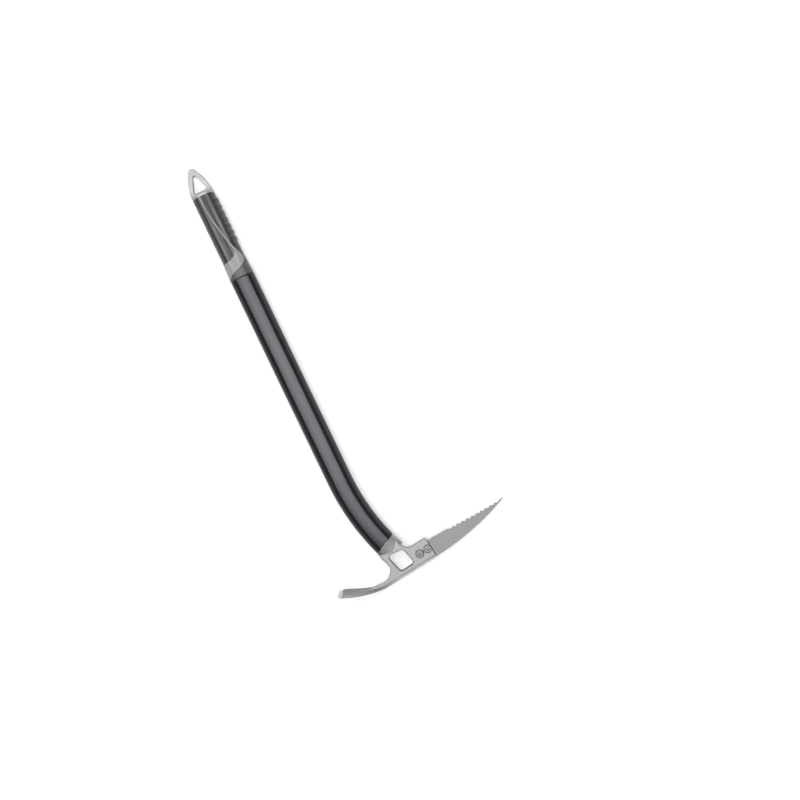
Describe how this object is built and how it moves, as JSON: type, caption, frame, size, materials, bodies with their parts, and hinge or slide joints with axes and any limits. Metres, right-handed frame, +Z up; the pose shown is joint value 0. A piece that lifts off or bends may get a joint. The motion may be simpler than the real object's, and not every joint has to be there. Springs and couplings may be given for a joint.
{
  "type": "ice axe",
  "caption": "Technical ice axe: bent flat-sided oval shaft, steel head with adze and carabiner eye, bolted toothed pick, two-tone ribbed grip and eyed spike.",
  "frame": {"origin": "middle of the axe's box, on the floor it lies on: the axe rests on the adze's lower corner, the pick's point and the spike end of the grip", "axes": "+Y from the head towards the spike, along the straight shaft; +X towards the pick's point; +Z up from the floor, about 6 degrees off the square to the axe's flat plane, which the two eyes' mount axes give exactly"},
  "size_m": [0.237, 0.5684, 0.0564],
  "materials": {
    "shaft_anodised": "black satin anodised",
    "head_steel": "satin, glass-blasted",
    "pick_steel": "satin, ground edges",
    "spike_steel": "bright satin",
    "fastener_steel": "zinc-plated",
    "pin_steel": "turned",
    "grip_light": "light grey, moulded",
    "grip_grey": "mid-grey, moulded",
    "grip_rubber": "soft black, moulded"
  },
  "bodies": {
    "root": {"grip_back_rubber": "grip_rubber", "grip_collar": "grip_grey", "grip_core": "grip_light", "grip_front_rubber": "grip_rubber", "head_casting": "head_steel", "head_pin_lower": "pin_steel", "head_pin_upper": "pin_steel", "pick": "pick_steel", "pick_bolt_front": "fastener_steel", "pick_bolt_rear": "fastener_steel", "pick_nut_front": "fastener_steel", "pick_nut_rear": "fastener_steel", "shaft_tube": "shaft_anodised", "spike": "spike_steel", "spike_pin_lower": "pin_steel", "spike_pin_upper": "pin_steel"}
  },
  "joints": []
}
